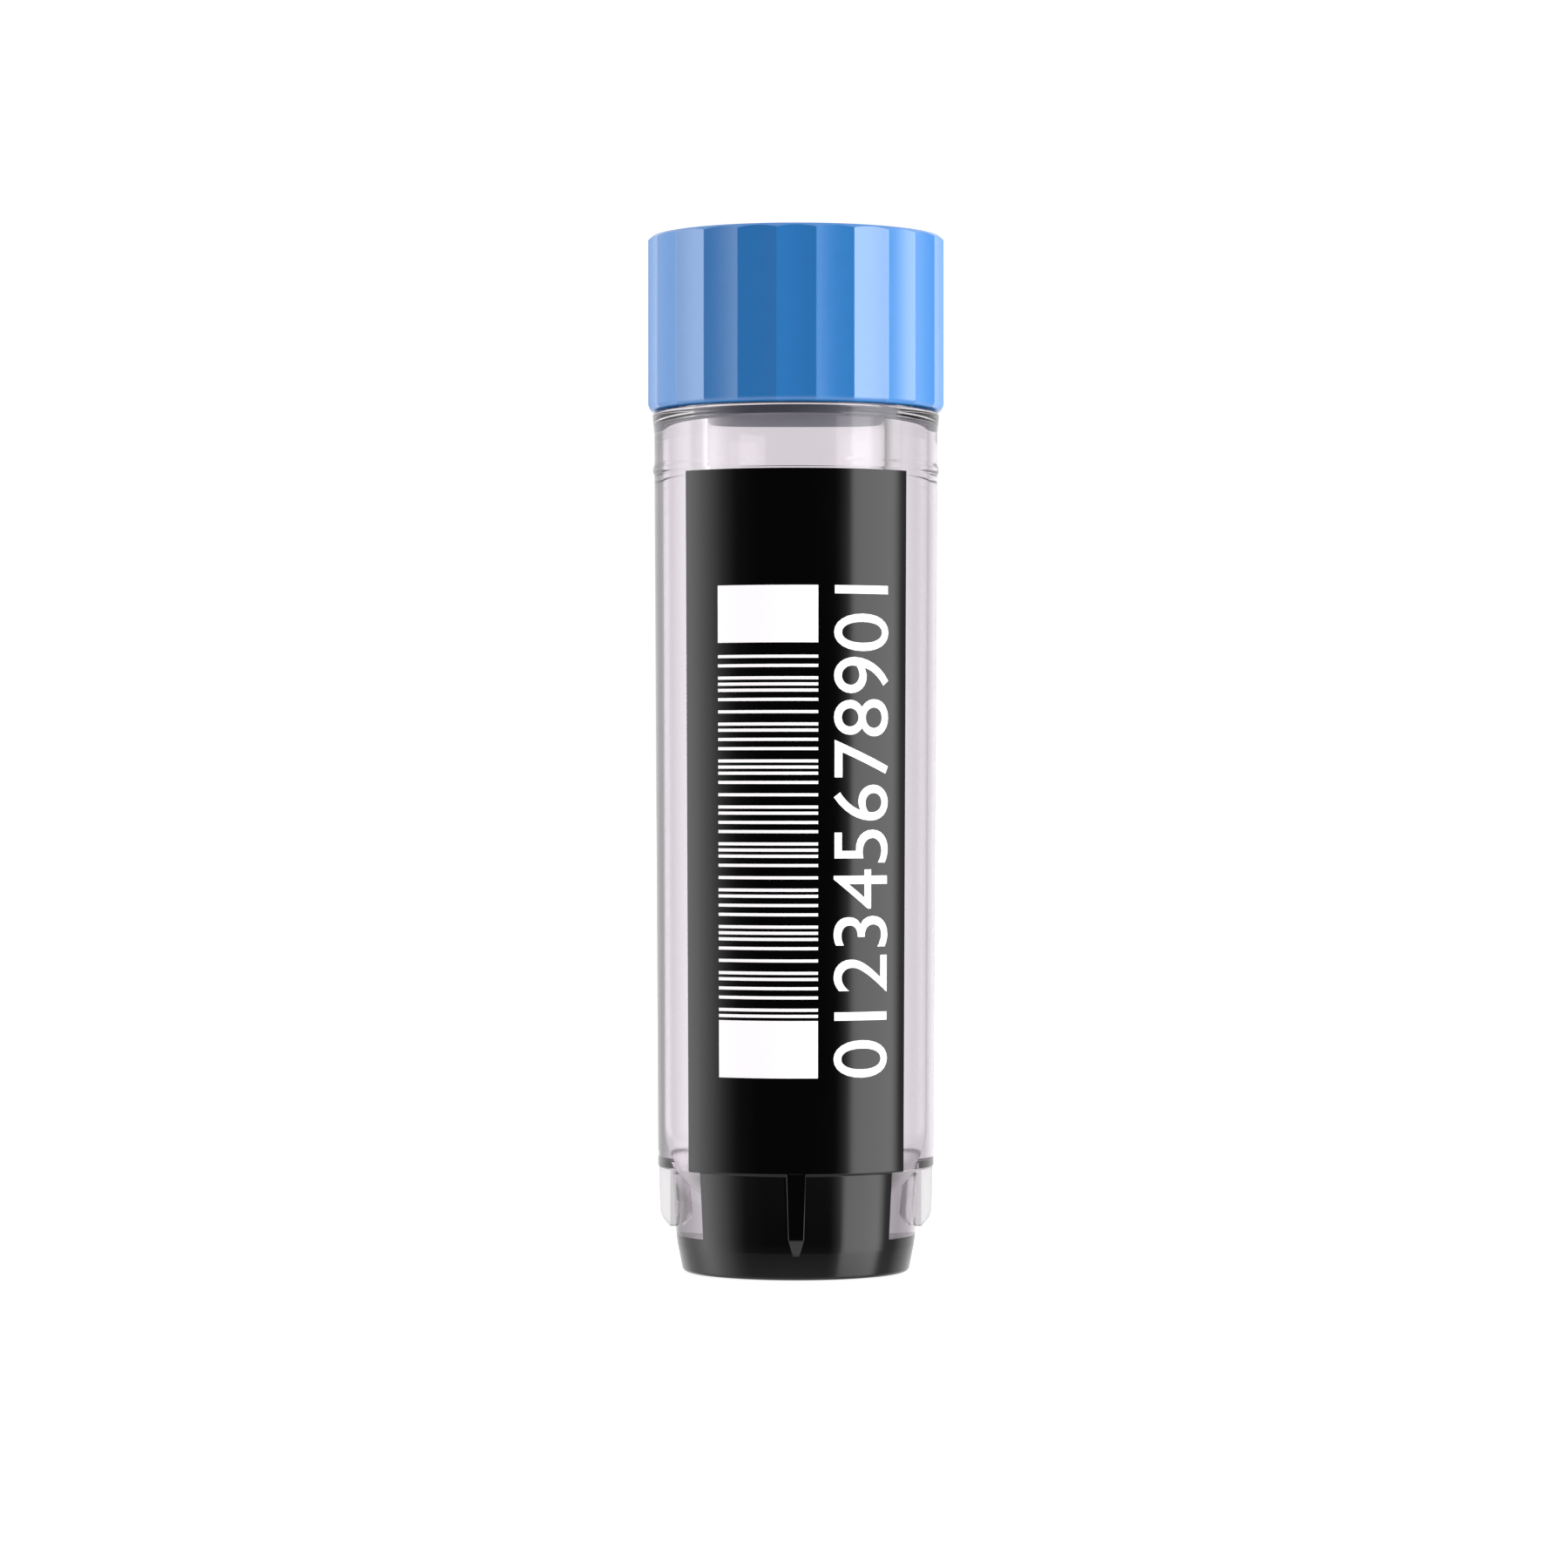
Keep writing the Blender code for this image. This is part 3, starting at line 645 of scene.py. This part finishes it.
def panel_patch(mesh, left, right, low, high):
    """Add a thin closed patch that follows the panel between two azimuths and two heights."""
    steps = round((right - left) / PATCH_STEP)
    sections = []
    for step in range(steps + 1):
        azimuth = left + (right - left) * step / steps
        ends = [(low, -MARK_SUNK), (low, MARK_PROUD), (high, MARK_PROUD), (high, -MARK_SUNK)]
        sections.append([mesh.verts.new(polar(barrel_radius(height) + lift, azimuth, height))
                         for height, lift in ends])
    for first, second in zip(sections, sections[1:]):
        for index in range(4):
            after = (index + 1) % 4
            mesh.faces.new([first[index], first[after], second[after], second[index]])
    mesh.faces.new(sections[0])
    mesh.faces.new(sections[-1])


def build_bars(material):
    """A generic bar pattern between two plain blocks. The widths follow a formula and encode nothing."""
    bottom, top = CODE_BOTTOM + BLOCK_HEIGHT, CODE_TOP - BLOCK_HEIGHT
    module = (top - bottom) / MODULES
    mesh = bmesh.new()
    panel_patch(mesh, BARS_LEFT, BARS_RIGHT, CODE_BOTTOM, bottom)
    panel_patch(mesh, BARS_LEFT, BARS_RIGHT, top, CODE_TOP)
    place = 1
    index = 0
    while place < MODULES - WIDEST_BAR - 1:
        width = 1 + (index * index + 2 * index) % 4 % WIDEST_BAR
        panel_patch(mesh, BARS_LEFT, BARS_RIGHT, bottom + place * module, bottom + (place + width) * module)
        place += width + 1 + (index * 5 + index // 3) % 3
        index += 1
    bmesh.ops.recalc_face_normals(mesh, faces=mesh.faces)
    bars = to_object("bar_marks", mesh)
    return finish_piece(bars, material, TUBE, "black_polypropylene")


def lettered(name, text):
    """A line of text as a solid mesh that fills the unit cube, reading along X."""
    curve = bpy.data.curves.new(name, "FONT")
    curve.body = text
    curve.extrude = 0.01
    curve.resolution_u = 6
    thing = bpy.data.objects.new(name, curve)
    bpy.context.scene.collection.objects.link(thing)
    bpy.context.view_layer.update()
    evaluated = thing.evaluated_get(bpy.context.evaluated_depsgraph_get())
    mesh = bmesh.new()
    mesh.from_mesh(bpy.data.meshes.new_from_object(evaluated))
    bpy.data.objects.remove(thing, do_unlink=True)
    bmesh.ops.remove_doubles(mesh, verts=mesh.verts, dist=SAME_POINT)
    xs = [vertex.co.x for vertex in mesh.verts]
    ys = [vertex.co.y for vertex in mesh.verts]
    for vertex in mesh.verts:
        vertex.co.x = (vertex.co.x - min(xs)) / (max(xs) - min(xs))
        vertex.co.y = (vertex.co.y - min(ys)) / (max(ys) - min(ys))
        vertex.co.z = 1.0 if vertex.co.z > 0 else 0.0
    return mesh


def sliced(mesh, count):
    """Cut a unit-sized mesh into slices along Y, so that it can be bent."""
    upwards = Vector((0.0, 1.0, 0.0))
    for cut in range(1, count):
        everything = list(mesh.verts) + list(mesh.edges) + list(mesh.faces)
        bmesh.ops.bisect_plane(mesh, geom=everything, dist=1e-7, plane_co=upwards * cut / count,
                               plane_no=upwards)
    return mesh


def build_digits(material):
    """Generic digits beside the bars, which read upwards along the tube."""
    mesh = sliced(lettered("digits", "012345678901"), DIGIT_SLICES)
    for vertex in mesh.verts:
        along, up, proud = vertex.co
        height = CODE_BOTTOM + along * (CODE_TOP - CODE_BOTTOM)
        azimuth = DIGITS_BASE + up * (DIGITS_TOP - DIGITS_BASE)
        lift = MARK_PROUD if proud > 0.5 else -MARK_SUNK
        vertex.co = polar(barrel_radius(height) + lift, azimuth, height)
    bmesh.ops.recalc_face_normals(mesh, faces=mesh.faces)
    digits = to_object("digit_marks", mesh)
    return finish_piece(digits, material, TUBE, "black_polypropylene")


# ---------------------------------------------------------------- studio

# The studio's light by azimuth: (azimuth, radiance). 0 is the camera's side and 180 the white backdrop.
STUDIO = ((-180, 1.0), (-146, 1.05), (-134, 0.85), (-120, 1.0), (-113, 1.4), (-104, 2.1),
          (-98, 2.5), (-90, 2.3), (-75, 1.4), (-61, 0.45), (-50, 0.10), (-30, 0.03), (34, 0.03),
          (44, 0.5), (48, 3.3), (60, 3.4), (86, 3.4), (91, 1.9), (95, 0.4), (112, 0.3), (122, 0.7),
          (132, 0.9), (146, 1.05), (180, 1.0))

# The light from below and from above: its radiance, and how steep a direction it starts at and is full at
TABLE = (0.75, -0.2, -0.9)
CEILING = (0.7, 0.55, 0.85)

SEEN_WHITE = 1.05                # what the camera sees behind the tube
RADIANCE_TOP = 4.0               # the world's strength, which is the most that its colours can reach

FLOOR_HALF_WIDTH, FLOOR_DROP, FLOOR_GLOW = 3000.0, 0.03, 0.85

# The photograph's point of view
LENS, SENSOR = 117.2, 36.0
CAMERA_SIDE, CAMERA_DISTANCE, CAMERA_HEIGHT = -0.51, 220.0, 20.94


def build_floor():
    """A plain white floor that only the camera sees."""
    data = bpy.data.meshes.new("floor")
    side, below = FLOOR_HALF_WIDTH * MM, -FLOOR_DROP * MM
    corners = [(-side, -side, below), (side, -side, below), (side, side, below), (-side, side, below)]
    data.from_pydata(corners, [], [(0, 1, 2, 3)])
    floor = bpy.data.objects.new("floor", data)
    bpy.context.scene.collection.objects.link(floor)
    made, tree, shader = new_material("floor_white", (0.5, 0.5, 0.5), 0.9, Emission_Strength=FLOOR_GLOW)
    shader.inputs["Emission Color"].default_value = (1.0, 1.0, 1.0, 1.0)
    shader.inputs["Specular IOR Level"].default_value = 0.0
    data.materials.append(made)
    floor.visible_diffuse = False
    floor.visible_glossy = False
    floor.visible_transmission = False
    floor.visible_shadow = False


def grey(radiance):
    """A radiance as a colour for the world, which multiplies it by RADIANCE_TOP."""
    return (radiance / RADIANCE_TOP,) * 3 + (1.0,)


def studio_ring(tree, azimuth_share):
    """The studio's ring of light round the horizon."""
    ramp = tree.nodes.new("ShaderNodeValToRGB")
    elements = ramp.color_ramp.elements
    while len(elements) < len(STUDIO):
        elements.new(0.5)
    for element, (angle, radiance) in zip(elements, STUDIO):
        element.position = (angle + FULL_TURN / 2) / FULL_TURN
        element.color = grey(radiance)
    tree.links.new(azimuth_share, ramp.inputs["Fac"])
    return ramp.outputs["Color"]


def layered(tree, under, height, over, start, end):
    """Go from a light to an even one as the height of the direction goes from start to end."""
    share = tree.nodes.new("ShaderNodeMapRange")
    share.interpolation_type = "SMOOTHSTEP"
    share.inputs["From Min"].default_value = start
    share.inputs["From Max"].default_value = end
    tree.links.new(height, share.inputs["Value"])
    return mixed(tree, "RGBA", share.outputs["Result"], under, grey(over))


def build_world():
    """White for the camera's own rays; soft boxes, a backdrop and a table for the rest."""
    world = bpy.data.worlds.new("studio")
    bpy.context.scene.world = world
    world.use_nodes = True
    tree = world.node_tree
    nodes, links = tree.nodes, tree.links
    background = nodes["Background"]
    place = nodes.new("ShaderNodeTexCoord")
    split = nodes.new("ShaderNodeSeparateXYZ")
    links.new(place.outputs["Generated"], split.inputs["Vector"])
    height = split.outputs["Z"]
    minus_y = nodes.new("ShaderNodeMath")
    minus_y.operation = "MULTIPLY"
    minus_y.inputs[1].default_value = -1.0
    links.new(split.outputs["Y"], minus_y.inputs[0])
    azimuth = nodes.new("ShaderNodeMath")
    azimuth.operation = "ARCTAN2"
    links.new(split.outputs["X"], azimuth.inputs[0])
    links.new(minus_y.outputs["Value"], azimuth.inputs[1])
    ring = studio_ring(tree, spread(tree, azimuth.outputs["Value"], 0.0, 1.0, -math.pi, math.pi))
    light = layered(tree, layered(tree, ring, height, *TABLE), height, *CEILING)
    path = nodes.new("ShaderNodeLightPath")
    seen = mixed(tree, "RGBA", path.outputs["Is Camera Ray"], light, grey(SEEN_WHITE))
    links.new(seen, background.inputs["Color"])
    background.inputs["Strength"].default_value = RADIANCE_TOP


def build_camera():
    """A long lens, level with the middle of the tube."""
    data = bpy.data.cameras.new("camera")
    data.lens = LENS
    data.sensor_width = SENSOR
    data.clip_start = 10.0 * MM
    camera = bpy.data.objects.new("camera", data)
    camera.location = Vector((CAMERA_SIDE, -CAMERA_DISTANCE, CAMERA_HEIGHT)) * MM
    camera.rotation_euler = (math.radians(90.0), 0.0, 0.0)
    bpy.context.scene.collection.objects.link(camera)
    bpy.context.scene.camera = camera


build_camera()
build_world()
build_floor()
build_tube(clear_plastic())
build_code_shell(black_plastic())
build_cap(blue_plastic())
build_seal(seal_rubber())
white_mark_painted_glow = laser_mark_painted_glow()
build_bars(white_mark_painted_glow)
build_digits(white_mark_painted_glow)
bpy.context.scene.view_settings.view_transform = "Standard"
